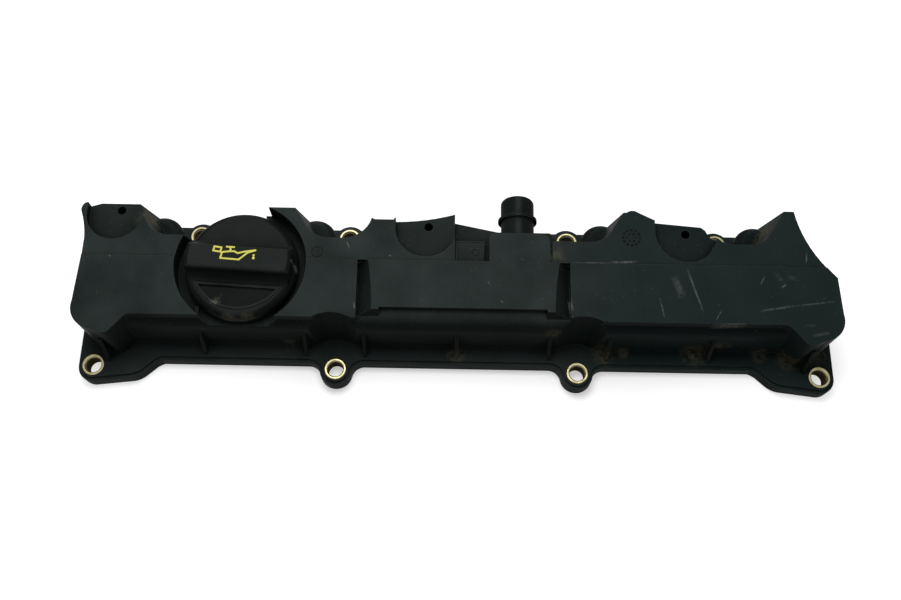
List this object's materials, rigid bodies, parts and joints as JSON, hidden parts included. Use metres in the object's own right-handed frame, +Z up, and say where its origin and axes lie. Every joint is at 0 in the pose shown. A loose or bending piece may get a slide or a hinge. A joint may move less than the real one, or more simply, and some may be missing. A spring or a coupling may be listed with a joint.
{
  "type": "engine valve cover",
  "caption": "Long moulded plastic valve cover for a four-cylinder engine, with bolt flange and sleeves, rubber gasket, screw-on oil filler cap and rear hose spigot.",
  "frame": {"origin": "centre of the bounding box at its base, in the plane of the gasket's crest", "axes": "+X along the engine away from the filler cap, +Y from the front edge to the hose spigot side, +Z up out of the engine"},
  "size_m": [0.4308, 0.1022, 0.057],
  "materials": {
    "cover": "moulded, satin worn",
    "cap": "moulded, satin",
    "gasket": "moulded rubber",
    "seal": "moulded rubber",
    "plate": "moulded",
    "sleeve": "yellow zinc plated",
    "screw": "zinc plated"
  },
  "bodies": {
    "cover": {"cover_shell": "cover", "perimeter_gasket": "gasket", "separator_plate": "plate", "sleeve_front_1": "sleeve", "sleeve_front_2": "sleeve", "sleeve_front_3": "sleeve", "sleeve_front_4": "sleeve", "sleeve_rear_1": "sleeve", "sleeve_rear_2": "sleeve", "sleeve_rear_3": "sleeve", "sleeve_rear_4": "sleeve", "separator_screw_1": "screw", "separator_screw_2": "screw", "separator_screw_3": "screw", "separator_screw_4": "screw", "separator_screw_5": "screw", "separator_screw_6": "screw"},
    "cap_carrier": {"filler_cap_seal": "seal"},
    "cap": {"filler_cap": "cap"}
  },
  "joints": [
    {"name": "cap_rise", "type": "slide", "parent": "cover", "child": "cap_carrier", "axis": [0, 0, 1], "range_m": [0, 0.00751]},
    {"name": "cap_turn", "type": "hinge", "parent": "cap_carrier", "child": "cap", "pos_m": [-0.12, 0.0063, 0.045], "axis": [0, 0, 1], "range_deg": [0, 270]}
  ],
  "couplings": [
    {"joint": "cap_rise", "follows": "cap_turn", "m_per_rad": 0.0015915}
  ]
}
